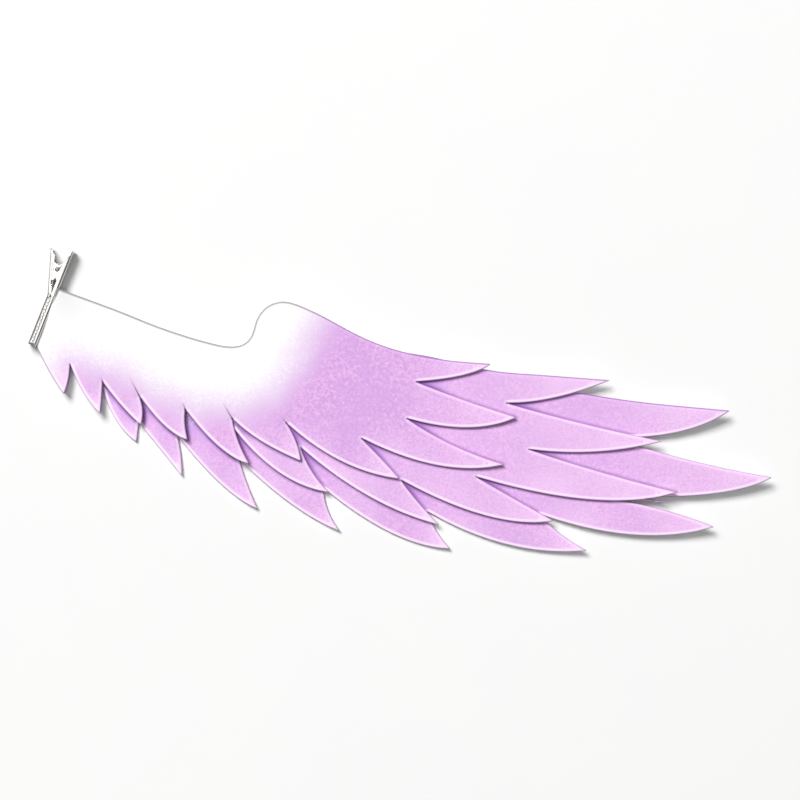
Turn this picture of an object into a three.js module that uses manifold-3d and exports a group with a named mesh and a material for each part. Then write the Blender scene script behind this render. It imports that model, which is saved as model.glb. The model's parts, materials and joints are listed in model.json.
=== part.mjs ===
// Feathered foam wing on a sprung metal hair clip, lying flat.
// X runs from the clip to the wing's point, Y towards the leading edge, Z up from the surface it lies on.
import * as THREE from "three";
import { mergeVertices } from "three/addons/utils/BufferGeometryUtils.js";
import Module from "manifold-3d";

const wasm = await Module();
wasm.setup();

// Wing sizes, mm
const WING_SPAN = 306;
const WING_DEPTH = 112.5;
const SHEET_THICKNESS = 2;

// Clip sizes, mm
const CLIP_LENGTH = 44.2;
const CLIP_WIDTH = 8;
const METAL_THICKNESS = 0.6;
const JAW_STACK = 3.8;
const LEVER_SPREAD = 9.9;
const LEVER_SETBACK = 2.4;
const KNEE_AT = 21.4;
const KNEE_RADIUS = 6;
const TURNED_EDGE = 2.1;
const PIVOT_AT = 10;
const EAR_RADIUS = 1.8;
const EAR_JAW_FOOT = 4.6;
const EAR_LEVER_FOOT = 3.2;
const PIN_RADIUS = 0.8;
const LEVER_CORNER = 2;
const EDGE_RAMP = 0.8;
const JAW_CORNER = 0.7;
const TOOTH_PITCH = 1.6;
const TOOTH_DEPTH = 0.7;

// Spring sizes, mm
const WIRE_RADIUS = 0.3;
const COIL_TURNS = 4;
const SPRING_LEG = 4.2;

// How the wing sits on the clip
const CLIP_LEAN_DEG = 21.8;
const ROOT_AT = 17.4;

// Clearances, mm
const GLUE_LINE = 0.3;
const RUNNING_GAP = 0.3;
const PIN_GAP = 0.2;
const MOUTH_GAP = 0.3;
const WIRE_GAP = 0.3;

// Smoothness of the curves
const FEATHER_STEPS = 8;
const LEADING_STEPS = 56;
const ARC_STEPS = 16;
const COIL_STEPS_PER_TURN = 18;
const WIRE_SIDES = 6;

// The leading edge that all three sheets share, from the root to past the shoulder.
// Shares of WING_SPAN along the wing and of WING_DEPTH across it.
const LEADING_COLUMNS = ["along", "across"];
const SHARED_LEADING_EDGE = [
  [0.000, 0.000],
  [0.077, 0.077],
  [0.141, 0.146],
  [0.202, 0.199],
  [0.243, 0.219],
  [0.266, 0.190],
  [0.278, 0.106],
  [0.295, 0.060],
  [0.320, 0.049],
  [0.360, 0.091],
  [0.424, 0.183],
  [0.476, 0.235],
  [0.540, 0.270],
];
const MIDDLE_LEADING_EDGE = [
  ...SHARED_LEADING_EDGE,
  [0.608, 0.312],
  [0.682, 0.329],
];
const BOTTOM_LEADING_EDGE = [
  ...SHARED_LEADING_EDGE,
  [0.642, 0.357],
  [0.740, 0.401],
  [0.825, 0.434],
];

// One row for each feather, from the wing's point to the root: its tip, the notch after it,
// how far its upper and lower edges bow outwards as a share of their length, and where on the
// lower edge the bow is deepest. Tips and notches are shares of WING_SPAN and WING_DEPTH.
const FEATHER_COLUMNS = [
  "tipAlong", "tipAcross", "notchAlong", "notchAcross", "upperBow", "lowerBow", "deepestAt",
];
const TOP_FEATHERS = [
  [0.606, 0.286, 0.500, 0.354, 0.00, 0.06, 0.30],
  [0.642, 0.490, 0.487, 0.494, -0.01, 0.09, 0.40],
  [0.625, 0.670, 0.423, 0.569, -0.04, 0.09, 0.40],
  [0.478, 0.726, 0.318, 0.512, 0.01, 0.08, 0.45],
  [0.339, 0.658, 0.242, 0.495, 0.06, 0.05, 0.60],
  [0.267, 0.669, 0.176, 0.460, -0.05, 0.08, 0.30],
  [0.180, 0.577, 0.111, 0.406, -0.05, 0.08, 0.30],
  [0.114, 0.520, 0.060, 0.355, 0.09, 0.03, 0.40],
  [0.057, 0.477, 0.014, 0.285, 0.00, 0.06, 0.45],
];
const MIDDLE_FEATHERS = [
  [0.773, 0.348, 0.627, 0.435, 0.00, 0.05, 0.60],
  [0.846, 0.581, 0.658, 0.612, -0.01, 0.05, 0.50],
  [0.867, 0.776, 0.584, 0.717, -0.01, 0.07, 0.35],
  [0.694, 0.886, 0.479, 0.730, 0.00, 0.08, 0.35],
  [0.534, 0.903, 0.338, 0.606, -0.02, 0.06, 0.45],
  [0.379, 0.778, 0.243, 0.531, -0.06, 0.10, 0.40],
  [0.264, 0.655, 0.177, 0.455, -0.05, 0.08, 0.30],
  [0.178, 0.567, 0.111, 0.403, -0.05, 0.08, 0.30],
  [0.112, 0.508, 0.060, 0.352, 0.09, 0.03, 0.40],
  [0.057, 0.474, 0.014, 0.283, 0.00, 0.06, 0.45],
];
const BOTTOM_FEATHERS = [
  [0.941, 0.464, 0.776, 0.567, 0.00, 0.08, 0.40],
  [1.000, 0.719, 0.811, 0.793, -0.02, 0.06, 0.30],
  [0.856, 0.817, 0.776, 0.803, 0.00, 0.00, 0.50],
  [0.919, 0.908, 0.673, 0.861, 0.03, 0.08, 0.40],
  [0.741, 1.000, 0.516, 0.852, -0.04, 0.08, 0.45],
  [0.549, 0.994, 0.370, 0.763, -0.05, 0.08, 0.35],
  [0.394, 0.927, 0.252, 0.656, -0.08, 0.05, 0.35],
  [0.278, 0.842, 0.165, 0.565, -0.02, 0.06, 0.30],
  [0.171, 0.717, 0.110, 0.512, 0.03, 0.00, 0.50],
  [0.107, 0.586, 0.059, 0.381, 0.00, 0.09, 0.40],
  [0.057, 0.472, 0.014, 0.281, 0.00, 0.06, 0.45],
];
// The innermost feather runs back to the clip, so its notch is the root's lower corner.
const ROOT_FEATHER = { tipAlong: 0.006, tipAcross: 0.402, upperBow: 0.05, lowerBow: 0.03, deepestAt: 0.5 };

const foamMaterial = (color) => new THREE.MeshStandardMaterial({ color, roughness: 0.85, metalness: 0 });
const steelMaterial = (color, roughness) => new THREE.MeshStandardMaterial({ color, roughness, metalness: 1 });

const namedRow = (columns, row) => Object.fromEntries(columns.map((column, i) => [column, row[i]]));
const onWing = (along, across) => new THREE.Vector2(along * WING_SPAN, -across * WING_DEPTH);

// Solids and meshes

function toSolid(geometry) {
  const bare = geometry.clone();
  bare.deleteAttribute("normal");
  bare.deleteAttribute("uv");
  const merged = mergeVertices(bare, 1e-5);
  return new wasm.Manifold(new wasm.Mesh({
    numProp: 3,
    vertProperties: new Float32Array(merged.attributes.position.array),
    triVerts: new Uint32Array(merged.index.array),
  }));
}

function toGeometry(solid) {
  const mesh = solid.getMesh();
  const geometry = new THREE.BufferGeometry();
  geometry.setAttribute("position", new THREE.BufferAttribute(new Float32Array(mesh.vertProperties), 3));
  geometry.setIndex(new THREE.BufferAttribute(new Uint32Array(mesh.triVerts), 1));
  geometry.computeVertexNormals();
  return geometry;
}

function namedMesh(name, geometry, material) {
  const mesh = new THREE.Mesh(geometry, material);
  mesh.name = name;
  return mesh;
}

function plate(points, bottom, top) {
  const geometry = new THREE.ExtrudeGeometry(new THREE.Shape(points), { depth: top - bottom, bevelEnabled: false });
  return geometry.translate(0, 0, bottom);
}

// Wing

// An edge from a to b that bows to the left of its direction by a share of its length.
function bowedEdge(a, b, bow, deepestAt) {
  const run = b.clone().sub(a);
  const left = new THREE.Vector2(-run.y, run.x);
  const control = a.clone().addScaledVector(run, deepestAt).addScaledVector(left, 2 * bow);
  return new THREE.QuadraticBezierCurve(a, control, b).getPoints(FEATHER_STEPS).slice(1);
}

// The root edge lies along the fixed jaw, from ROOT_AT to the jaw's tip.
function rootLowerCorner() {
  const along = THREE.MathUtils.degToRad(-90 - CLIP_LEAN_DEG);
  return new THREE.Vector2(Math.cos(along), Math.sin(along)).multiplyScalar(CLIP_LENGTH - ROOT_AT);
}

function sheetOutline(leadingEdge, feathers) {
  const rows = feathers.map((row) => namedRow(FEATHER_COLUMNS, row));
  const edge = leadingEdge.map((row) => namedRow(LEADING_COLUMNS, row));
  const leading = edge.map((point) => onWing(point.along, point.across));
  leading.push(onWing(rows[0].tipAlong, rows[0].tipAcross));
  const outline = new THREE.SplineCurve(leading).getPoints(LEADING_STEPS);
  let notch = null;
  for (const row of rows) {
    const tip = onWing(row.tipAlong, row.tipAcross);
    if (notch) outline.push(...bowedEdge(notch, tip, row.upperBow, 0.5));
    notch = onWing(row.notchAlong, row.notchAcross);
    outline.push(...bowedEdge(tip, notch, row.lowerBow, row.deepestAt));
  }
  const rootTip = onWing(ROOT_FEATHER.tipAlong, ROOT_FEATHER.tipAcross);
  outline.push(...bowedEdge(notch, rootTip, ROOT_FEATHER.upperBow, 0.5));
  outline.push(...bowedEdge(rootTip, rootLowerCorner(), ROOT_FEATHER.lowerBow, ROOT_FEATHER.deepestAt));
  return outline;
}

function wingSheet(name, place, leadingEdge, feathers, color) {
  const bottom = place * SHEET_THICKNESS;
  const outline = sheetOutline(leadingEdge, feathers);
  return namedMesh(name, plate(outline, bottom, bottom + SHEET_THICKNESS), foamMaterial(color));
}

// Clip, in its own frame: x from the lever end to the jaw's tip, y towards the wing.
// The fixed jaw's outer face is y = 0, and heights above it, away from the wing, are negative y.

const onClip = (along, height) => new THREE.Vector2(along, -height);

const leverOuter = new THREE.Vector2(LEVER_SETBACK, LEVER_SPREAD);
const kneeOuter = new THREE.Vector2(KNEE_AT, JAW_STACK);
const leverSlope = Math.atan2(leverOuter.y - kneeOuter.y, kneeOuter.x - leverOuter.x);
const leverHeightAt = (along) => kneeOuter.y + (KNEE_AT - along) * Math.tan(leverSlope);

// The pivot is as far from the lever's face as from the fixed jaw's.
const pivotHeight = leverHeightAt(PIVOT_AT) * Math.cos(leverSlope) / (1 + Math.cos(leverSlope));
const faceDistance = pivotHeight - METAL_THICKNESS;
const mouthHeight = JAW_STACK / 2;
const leverEndFromPivot = (LEVER_SETBACK - PIVOT_AT) * Math.cos(leverSlope)
  - (LEVER_SPREAD - pivotHeight) * Math.sin(leverSlope);
const teethFrom = KNEE_AT + KNEE_RADIUS * Math.tan(leverSlope / 2);

function arcPoints(centreAlong, centreHeight, radius, fromDeg, toDeg) {
  const points = [];
  for (let i = 0; i <= ARC_STEPS; i += 1) {
    const angle = THREE.MathUtils.degToRad(fromDeg + (toDeg - fromDeg) * i / ARC_STEPS);
    points.push(onClip(centreAlong + radius * Math.cos(angle), centreHeight + radius * Math.sin(angle)));
  }
  return points;
}

// A strip seen from the side is cut to its outline seen from above, which rounds its corners.
function roundedPlan(from, to) {
  const shape = new THREE.Shape();
  shape.moveTo(from + LEVER_CORNER, 0);
  shape.lineTo(to - JAW_CORNER, 0);
  shape.absarc(to - JAW_CORNER, JAW_CORNER, JAW_CORNER, -Math.PI / 2, 0);
  shape.absarc(to - JAW_CORNER, CLIP_WIDTH - JAW_CORNER, JAW_CORNER, 0, Math.PI / 2);
  shape.absarc(from + LEVER_CORNER, CLIP_WIDTH - LEVER_CORNER, LEVER_CORNER, Math.PI / 2, Math.PI);
  shape.absarc(from + LEVER_CORNER, LEVER_CORNER, LEVER_CORNER, Math.PI, Math.PI * 1.5);
  const tall = 2 * LEVER_SPREAD;
  const options = { depth: tall, bevelEnabled: false, curveSegments: 6 };
  const geometry = new THREE.ExtrudeGeometry(shape, options);
  return geometry.rotateX(Math.PI / 2).translate(0, tall / 4, 0);
}

// Ears and turned edges are drawn with the pivot as their origin: x towards the jaw's tip, y away
// from the strip that they stand on, whose middle is at rootLevel and whose turned edge ends at edgeLevel.
const rootLevel = -faceDistance - METAL_THICKNESS / 2;
const edgeLevel = TURNED_EDGE - METAL_THICKNESS - faceDistance;
const earLeanDeg = 50;

// The ear's outline from its foot on the lever, round the pin, to its foot on the jaw.
function earTop() {
  const points = [new THREE.Vector2(-EAR_LEVER_FOOT, edgeLevel)];
  for (let i = 0; i <= ARC_STEPS; i += 1) {
    const angle = THREE.MathUtils.degToRad(180 - earLeanDeg - (180 - 2 * earLeanDeg) * i / ARC_STEPS);
    points.push(new THREE.Vector2(Math.cos(angle), Math.sin(angle)).multiplyScalar(EAR_RADIUS));
  }
  points.push(new THREE.Vector2(EAR_JAW_FOOT, edgeLevel));
  return points;
}

function earOutline() {
  return [
    new THREE.Vector2(-EAR_LEVER_FOOT, rootLevel),
    ...earTop(),
    new THREE.Vector2(EAR_JAW_FOOT, rootLevel),
  ];
}

// The turned edge of a lever starts behind the lever's rounded corner.
function leverEdgeOutline(leverEndAt, stopAt) {
  const startAt = leverEndAt + LEVER_CORNER;
  return [
    new THREE.Vector2(startAt, rootLevel),
    new THREE.Vector2(startAt + EDGE_RAMP, edgeLevel),
    new THREE.Vector2(stopAt, edgeLevel),
    new THREE.Vector2(stopAt, rootLevel),
  ];
}

const fixedPoint = (p) => onClip(PIVOT_AT + p.x, pivotHeight + p.y);

function movingPoint(p) {
  const along = PIVOT_AT + p.x * Math.cos(leverSlope) - p.y * Math.sin(leverSlope);
  const height = pivotHeight - p.x * Math.sin(leverSlope) - p.y * Math.cos(leverSlope);
  return onClip(along, height);
}

// The same plate at both sides of the clip, its near face a given distance in from the side.
function sidePlates(outline, inset) {
  const near = toSolid(plate(outline, inset, inset + METAL_THICKNESS));
  const far = toSolid(plate(outline, CLIP_WIDTH - inset - METAL_THICKNESS, CLIP_WIDTH - inset));
  return near.add(far);
}

// The mouth line zigzags, so that the teeth of one jaw close into those of the other.
function toothedLine(shift) {
  const teeth = Math.floor((CLIP_LENGTH - JAW_CORNER - teethFrom) / (TOOTH_PITCH / 2));
  const points = [];
  for (let i = 0; i <= teeth; i += 1) {
    const side = i % 2 ? 0.5 : -0.5;
    points.push(onClip(teethFrom + i * TOOTH_PITCH / 2, mouthHeight + side * TOOTH_DEPTH + shift));
  }
  return points;
}

function lipOutline(rootHeight, shift) {
  const teeth = toothedLine(shift);
  const first = teeth[0];
  const last = teeth[teeth.length - 1];
  return [onClip(first.x, rootHeight), ...teeth, onClip(last.x, rootHeight)];
}

// Between the ears and the teeth the fixed jaw's edge stays turned up.
function neckOutline() {
  return [
    onClip(PIVOT_AT, METAL_THICKNESS / 2),
    onClip(PIVOT_AT, TURNED_EDGE),
    onClip(teethFrom - TOOTH_PITCH, TURNED_EDGE),
    onClip(teethFrom, mouthHeight - (TOOTH_DEPTH + MOUTH_GAP) / 2),
    onClip(teethFrom, METAL_THICKNESS / 2),
  ];
}

function pinHole() {
  const hole = new THREE.CylinderGeometry(PIN_RADIUS + PIN_GAP, PIN_RADIUS + PIN_GAP, 2 * CLIP_WIDTH, ARC_STEPS);
  return toSolid(hole.rotateX(Math.PI / 2).translate(PIVOT_AT, -pivotHeight, CLIP_WIDTH / 2));
}

function fixedJaw() {
  const strip = [
    onClip(0, 0),
    onClip(CLIP_LENGTH, 0),
    onClip(CLIP_LENGTH, METAL_THICKNESS),
    onClip(0, METAL_THICKNESS),
  ];
  const web = toSolid(plate(strip, 0, CLIP_WIDTH)).intersect(toSolid(roundedPlan(0, CLIP_LENGTH)));
  const ears = sidePlates(earOutline().map(fixedPoint), 0);
  const leverEdges = sidePlates(leverEdgeOutline(-PIVOT_AT, 0).map(fixedPoint), 0);
  const lips = sidePlates(lipOutline(METAL_THICKNESS / 2, -MOUTH_GAP / 2), 0);
  const neck = sidePlates(neckOutline(), 0);
  return toGeometry(web.add(ears).add(leverEdges).add(neck).add(lips).subtract(pinHole()));
}

// The moving jaw's strip comes down from the lever end, bends at the knee and lies along the mouth.
function bentStrip() {
  const slopeDeg = THREE.MathUtils.radToDeg(leverSlope);
  const bendAlong = teethFrom;
  const bendHeight = JAW_STACK + KNEE_RADIUS;
  const outer = arcPoints(bendAlong, bendHeight, KNEE_RADIUS, -90, -90 - slopeDeg);
  const inner = arcPoints(bendAlong, bendHeight, KNEE_RADIUS + METAL_THICKNESS, -90 - slopeDeg, -90);
  const innerEnd = onClip(
    leverOuter.x - METAL_THICKNESS * Math.sin(leverSlope),
    leverOuter.y - METAL_THICKNESS * Math.cos(leverSlope),
  );
  return [
    onClip(CLIP_LENGTH, JAW_STACK),
    ...outer,
    onClip(leverOuter.x, leverOuter.y),
    innerEnd,
    ...inner,
    onClip(CLIP_LENGTH, JAW_STACK - METAL_THICKNESS),
  ];
}

function movingJaw() {
  const leverEnd = leverOuter.x - METAL_THICKNESS * Math.sin(leverSlope);
  const web = toSolid(plate(bentStrip(), 0, CLIP_WIDTH)).intersect(toSolid(roundedPlan(leverEnd, CLIP_LENGTH)));
  const ears = sidePlates(earOutline().map(movingPoint), METAL_THICKNESS + RUNNING_GAP);
  const edges = leverEdgeOutline(leverEndFromPivot, -EAR_LEVER_FOOT).map(movingPoint);
  const leverEdges = sidePlates(edges, 0);
  const lips = sidePlates(lipOutline(JAW_STACK - METAL_THICKNESS / 2, MOUTH_GAP / 2), 0);
  return toGeometry(web.add(ears).add(leverEdges).add(lips).subtract(pinHole()));
}

function pivotPin() {
  const pin = new THREE.CylinderGeometry(PIN_RADIUS, PIN_RADIUS, CLIP_WIDTH, ARC_STEPS);
  return pin.rotateX(Math.PI / 2).translate(PIVOT_AT, -pivotHeight, CLIP_WIDTH / 2);
}

// Spring: a coil round the pin with a straight leg under each lever.
// One leg stays with the fixed jaw and one with the moving jaw, so the wire is in two halves.

const coilRadius = faceDistance - WIRE_GAP - WIRE_RADIUS;
const coilStart = -Math.PI / 2;
const coilEnd = Math.PI / 2 - leverSlope + COIL_TURNS * 2 * Math.PI;
const coilMiddle = (coilStart + coilEnd) / 2;
const coilSplit = WIRE_GAP / coilRadius;
const coilInset = 2 * METAL_THICKNESS + 2 * RUNNING_GAP + WIRE_RADIUS;

function coilPoint(angle) {
  const share = (angle - coilStart) / (coilEnd - coilStart);
  return new THREE.Vector3(
    PIVOT_AT + coilRadius * Math.cos(angle),
    -pivotHeight - coilRadius * Math.sin(angle),
    coilInset + share * (CLIP_WIDTH - 2 * coilInset),
  );
}

// Runs from a leg's free end to the coil's middle. The leg leaves the coil level, along its tangent.
class SpringHalf extends THREE.Curve {
  constructor(legAngle, splitAngle) {
    super();
    this.legAngle = legAngle;
    this.splitAngle = splitAngle;
    this.coilLength = Math.abs(splitAngle - legAngle) * coilRadius;
    const away = Math.sign(legAngle - splitAngle);
    this.legDirection = new THREE.Vector3(-Math.sin(legAngle), -Math.cos(legAngle), 0).multiplyScalar(away);
  }

  getPoint(t, target = new THREE.Vector3()) {
    const run = t * (SPRING_LEG + this.coilLength);
    if (run < SPRING_LEG) {
      return target.copy(coilPoint(this.legAngle)).addScaledVector(this.legDirection, SPRING_LEG - run);
    }
    const share = (run - SPRING_LEG) / this.coilLength;
    return target.copy(coilPoint(this.legAngle + share * (this.splitAngle - this.legAngle)));
  }
}

function springHalf(legAngle, splitAngle) {
  const route = new SpringHalf(legAngle, splitAngle);
  const round = new THREE.Shape().absarc(0, 0, WIRE_RADIUS, 0, 2 * Math.PI);
  const turns = (route.coilLength + SPRING_LEG) / (2 * Math.PI * coilRadius);
  return new THREE.ExtrudeGeometry(round, {
    extrudePath: route,
    steps: Math.round(turns * COIL_STEPS_PER_TURN),
    curveSegments: WIRE_SIDES / 2,
  });
}

// The clip's group is turned and placed so that the wing's root corner is the wing's origin.
function clip() {
  const steel = () => steelMaterial(0xd9dade, 0.22);
  const spring = () => steelMaterial(0x9a9ca2, 0.35);
  const group = new THREE.Group();
  group.add(
    namedMesh("fixed_jaw", fixedJaw(), steel()),
    namedMesh("moving_jaw", movingJaw(), steel()),
    namedMesh("pivot_pin", pivotPin(), steelMaterial(0xc4c6cb, 0.3)),
    namedMesh("spring_fixed_half", springHalf(coilStart, coilMiddle - coilSplit / 2), spring()),
    namedMesh("spring_moving_half", springHalf(coilEnd, coilMiddle + coilSplit / 2), spring()),
  );
  group.rotation.z = THREE.MathUtils.degToRad(-90 - CLIP_LEAN_DEG);
  group.position.copy(new THREE.Vector3(ROOT_AT, GLUE_LINE, 0).applyEuler(group.rotation).negate());
  return group;
}

const wing = new THREE.Group();
wing.add(
  wingSheet("wing_bottom_layer", 0, BOTTOM_LEADING_EDGE, BOTTOM_FEATHERS, 0xe6c3ef),
  wingSheet("wing_middle_layer", 1, MIDDLE_LEADING_EDGE, MIDDLE_FEATHERS, 0xebc4f2),
  wingSheet("wing_top_layer", 2, SHARED_LEADING_EDGE, TOP_FEATHERS, 0xe2b6ee),
  clip(),
);

// The origin is the centre of the whole thing on the surface it lies on.
wing.updateMatrixWorld(true);
const middle = new THREE.Box3().setFromObject(wing, true).getCenter(new THREE.Vector3());
wing.position.set(-middle.x, -middle.y, 0);

const hairClip = new THREE.Group();
hairClip.add(wing);

export default hairClip;
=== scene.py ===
# %% [markdown]
# # A feathered foam wing on a hair clip
# The wing is three sheets of craft foam, cut into feathers, glued one on another and sprayed from
# white to lilac. Its root is glued to the jaw of a sprung metal clip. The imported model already
# holds every solid at its real size, so this lesson dresses those solids: it reads each sheet's
# outline from the model, gives it soft cut edges and lifted tips, and then paints it.

import json
import math

import bmesh
import bpy
import numpy as np
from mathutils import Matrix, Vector
from mathutils.geometry import delaunay_2d_cdt


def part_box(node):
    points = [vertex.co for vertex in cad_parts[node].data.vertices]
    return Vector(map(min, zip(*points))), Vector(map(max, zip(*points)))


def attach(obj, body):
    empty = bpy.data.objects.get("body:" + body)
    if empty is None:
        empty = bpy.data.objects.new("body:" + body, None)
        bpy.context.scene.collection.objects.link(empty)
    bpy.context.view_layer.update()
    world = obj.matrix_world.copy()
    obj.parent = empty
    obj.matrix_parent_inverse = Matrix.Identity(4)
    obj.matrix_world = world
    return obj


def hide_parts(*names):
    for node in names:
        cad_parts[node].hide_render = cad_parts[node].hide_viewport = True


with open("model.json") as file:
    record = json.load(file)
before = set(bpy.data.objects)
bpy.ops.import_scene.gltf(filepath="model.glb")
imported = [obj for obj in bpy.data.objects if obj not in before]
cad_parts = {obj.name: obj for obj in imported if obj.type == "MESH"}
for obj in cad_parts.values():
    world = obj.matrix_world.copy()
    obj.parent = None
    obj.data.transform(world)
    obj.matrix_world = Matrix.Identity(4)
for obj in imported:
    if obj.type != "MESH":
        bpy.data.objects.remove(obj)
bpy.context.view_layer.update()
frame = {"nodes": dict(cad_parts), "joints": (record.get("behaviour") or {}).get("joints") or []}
print("solids:", sorted(frame["nodes"]))

# %% [markdown]
# ## Units and the wing's own grid
# Blender works in metres, and small things are easier to think of in millimetres, so one constant
# turns one into the other. Places on the wing are given as shares: along its span from the clip to
# the point, and across its depth from the leading edge to the lowest feather.

# %% Units and the wing's grid
MM = 0.001

SHEETS = ["wing_bottom_layer", "wing_middle_layer", "wing_top_layer"]
wing_low, wing_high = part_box("wing_bottom_layer")
ROOT_OVERHANG = 9.95 * MM
wing_origin = np.array([wing_low.x + ROOT_OVERHANG, wing_high.y])
wing_span = wing_high.x - wing_origin[0]
wing_depth = wing_high.y - wing_low.y


def on_wing(shares):
    """Turns rows of (along, across) shares into places in metres."""
    shares = np.asarray(shares, dtype=float)
    return wing_origin + shares * np.array([wing_span, -wing_depth])


print("wing span and depth, mm:", round(wing_span / MM, 1), round(wing_depth / MM, 1))

# %% [markdown]
# ## Reading a sheet's outline
# Each sheet in the model is a flat plate of loose triangles. A copy is welded, the triangles that
# lie at its top are picked, and the edges that only one of them uses are the outline. Walking from
# edge to edge puts its points in order, anticlockwise.

# %% Outline of a sheet
SAME_PLACE = 1e-3 * MM
TOP_SLACK = 0.1 * MM


def loop_area(loop):
    """Area inside a closed loop, positive when it runs anticlockwise."""
    following = np.roll(loop, -1, axis=0)
    return 0.5 * np.sum(loop[:, 0] * following[:, 1] - following[:, 0] * loop[:, 1])


def outline_of(node):
    """The ordered corner points of a plate's upper face."""
    plate = bmesh.new()
    plate.from_mesh(frame["nodes"][node].data)
    bmesh.ops.remove_doubles(plate, verts=plate.verts, dist=SAME_PLACE)
    top = max(vert.co.z for vert in plate.verts)
    upper = {face for face in plate.faces if all(top - vert.co.z < TOP_SLACK for vert in face.verts)}
    neighbours = {}
    for edge in plate.edges:
        if sum(face in upper for face in edge.link_faces) == 1:
            first, second = edge.verts
            neighbours.setdefault(first, []).append(second)
            neighbours.setdefault(second, []).append(first)
    start = next(iter(neighbours))
    walk = [start, neighbours[start][0]]
    while True:
        ahead = [v for v in neighbours[walk[-1]] if v is not walk[-2]][0]
        if ahead is start:
            break
        walk.append(ahead)
    loop = np.array([[v.co.x, v.co.y] for v in walk])
    plate.free()
    return loop if loop_area(loop) > 0 else loop[::-1].copy()


outlines = {name: outline_of(name) for name in SHEETS}
print("outline points:", {name: len(loop) for name, loop in outlines.items()})

# %% [markdown]
# ## Corners and smooth runs
# A feather has a sharp tip and a sharp notch, and smooth edges between them. The outline turns by
# more than CORNER_TURN only at tips, notches and the root, so it is split there. Each run between
# two corners gets new points on a smooth curve through the old ones.

# %% Split the outline and smooth its runs
CORNER_TURN = math.radians(50)
OUTLINE_STEP = 0.9 * MM
TIP_BLUNTING = 0.5


def turns_of(loop):
    """The turn at each point, positive where the outline turns left, which is at a tip."""
    ahead = np.roll(loop, -1, axis=0) - loop
    behind = loop - np.roll(loop, 1, axis=0)
    cross = behind[:, 0] * ahead[:, 1] - behind[:, 1] * ahead[:, 0]
    dot = np.sum(behind * ahead, axis=1)
    return np.arctan2(cross, dot)


def smooth_run(points):
    """New points along a curve through the given ones, without the last."""
    along = np.concatenate([[0.0], np.cumsum(np.linalg.norm(np.diff(points, axis=0), axis=1))])
    slopes = np.gradient(points, along, axis=0)
    count = max(2, int(math.ceil(along[-1] / OUTLINE_STEP)))
    wanted = np.linspace(0, along[-1], count, endpoint=False)
    piece = np.clip(np.searchsorted(along, wanted, side="right") - 1, 0, len(points) - 2)
    length = (along[piece + 1] - along[piece])[:, None]
    t = (wanted - along[piece])[:, None] / length
    ease = t * t * (3 - 2 * t)
    out_of = t * (1 - t) ** 2 * length
    into = -t * t * (1 - t) * length
    between = (1 - ease) * points[piece] + ease * points[piece + 1]
    return between + out_of * slopes[piece] + into * slopes[piece + 1]


def smooth_outline(loop):
    """Fine even points, the numbers of the tips and notches, and which points lead the wing."""
    turns = turns_of(loop)
    corners = np.flatnonzero(np.abs(turns) > CORNER_TURN)
    fine, marks = [], []
    for here, there in zip(corners, np.roll(corners, -1)):
        stop = there if there > here else there + len(loop)
        run = loop[np.arange(here, stop + 1) % len(loop)]
        marks.append((sum(len(part) for part in fine), turns[here]))
        fine.append(smooth_run(run))
    longest = np.argmax([len(part) for part in fine])
    leading = np.concatenate([np.full(len(part), i == longest) for i, part in enumerate(fine)])
    fine = np.concatenate(fine)
    tips = [index for index, turn in marks if turn > 0]
    notches = [index for index, turn in marks if turn < 0]
    return fine, tips, notches, leading


def blunt(loop, tips):
    """Rounds each tip a little, as a knife and a heat gun leave it."""
    rounded = loop.copy()
    for tip in tips:
        beside = (loop[tip - 1] + loop[(tip + 1) % len(loop)]) / 2
        rounded[tip] = (1 - TIP_BLUNTING) * loop[tip] + TIP_BLUNTING * beside
    return rounded


# %% [markdown]
# ## Distances inside an outline
# The soft edge, the pale rim and the lifted tips all depend on how far a place is from the cut
# edge. NumPy works out all the distances at once, a few thousand places at a time.

# %% Distances and the inside test
CHUNK = 2000


def nearest_edge(loop, places):
    """Distance of each place from the closed outline, and the number of the nearest edge."""
    start = loop
    run = np.roll(loop, -1, axis=0) - start
    length2 = np.sum(run * run, axis=1)
    distances, edges = [], []
    for first in range(0, len(places), CHUNK):
        offset = places[first:first + CHUNK, None, :] - start[None]
        share = np.clip(np.sum(offset * run, axis=2) / length2, 0, 1)
        gap = offset - share[..., None] * run
        gap2 = np.sum(gap * gap, axis=2)
        edges.append(np.argmin(gap2, axis=1))
        distances.append(np.sqrt(np.min(gap2, axis=1)))
    return np.concatenate(distances), np.concatenate(edges)


def distance_to(loop, places):
    """Distance of each place from the closed outline."""
    return nearest_edge(loop, places)[0]


def inside(loop, places):
    """True for each place that the closed outline holds."""
    a, b = loop, np.roll(loop, -1, axis=0)
    result = []
    for first in range(0, len(places), CHUNK):
        x = places[first:first + CHUNK, 0][:, None]
        y = places[first:first + CHUNK, 1][:, None]
        spans = (a[:, 1] > y) != (b[:, 1] > y)
        rise = np.where(b[:, 1] == a[:, 1], 1.0, b[:, 1] - a[:, 1])
        crossing = a[:, 0] + (y - a[:, 1]) * (b[:, 0] - a[:, 0]) / rise
        result.append(np.sum(spans & (x < crossing), axis=1) % 2 == 1)
    return np.concatenate(result)


# %% [markdown]
# ## Which way the foam lifts
# Cut foam does not lie dead flat: the sheets curl up a little towards the wing's point, and
# each feather's tip stands a little proud of what is under it. The curl is one gentle ramp that all
# three sheets share. A tip's lift fades over the length of its feather. A sheet also takes the
# lift of the sheets under it, so no sheet can cut through another.

# %% Lift of the tips
CURL_FROM = 0.45
CURL_HEIGHT = 3.4 * MM
TIP_LIFT = {"wing_bottom_layer": 2.5 * MM, "wing_middle_layer": 1.4 * MM, "wing_top_layer": 1.2 * MM}
LIFT_REACH = 0.75
FULL_FEATHER = 42 * MM
SHORTEST_LIFT = 12 * MM
SMALLEST_FEATHER = 4 * MM
ROOT_CLEAR = 6 * MM

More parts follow.
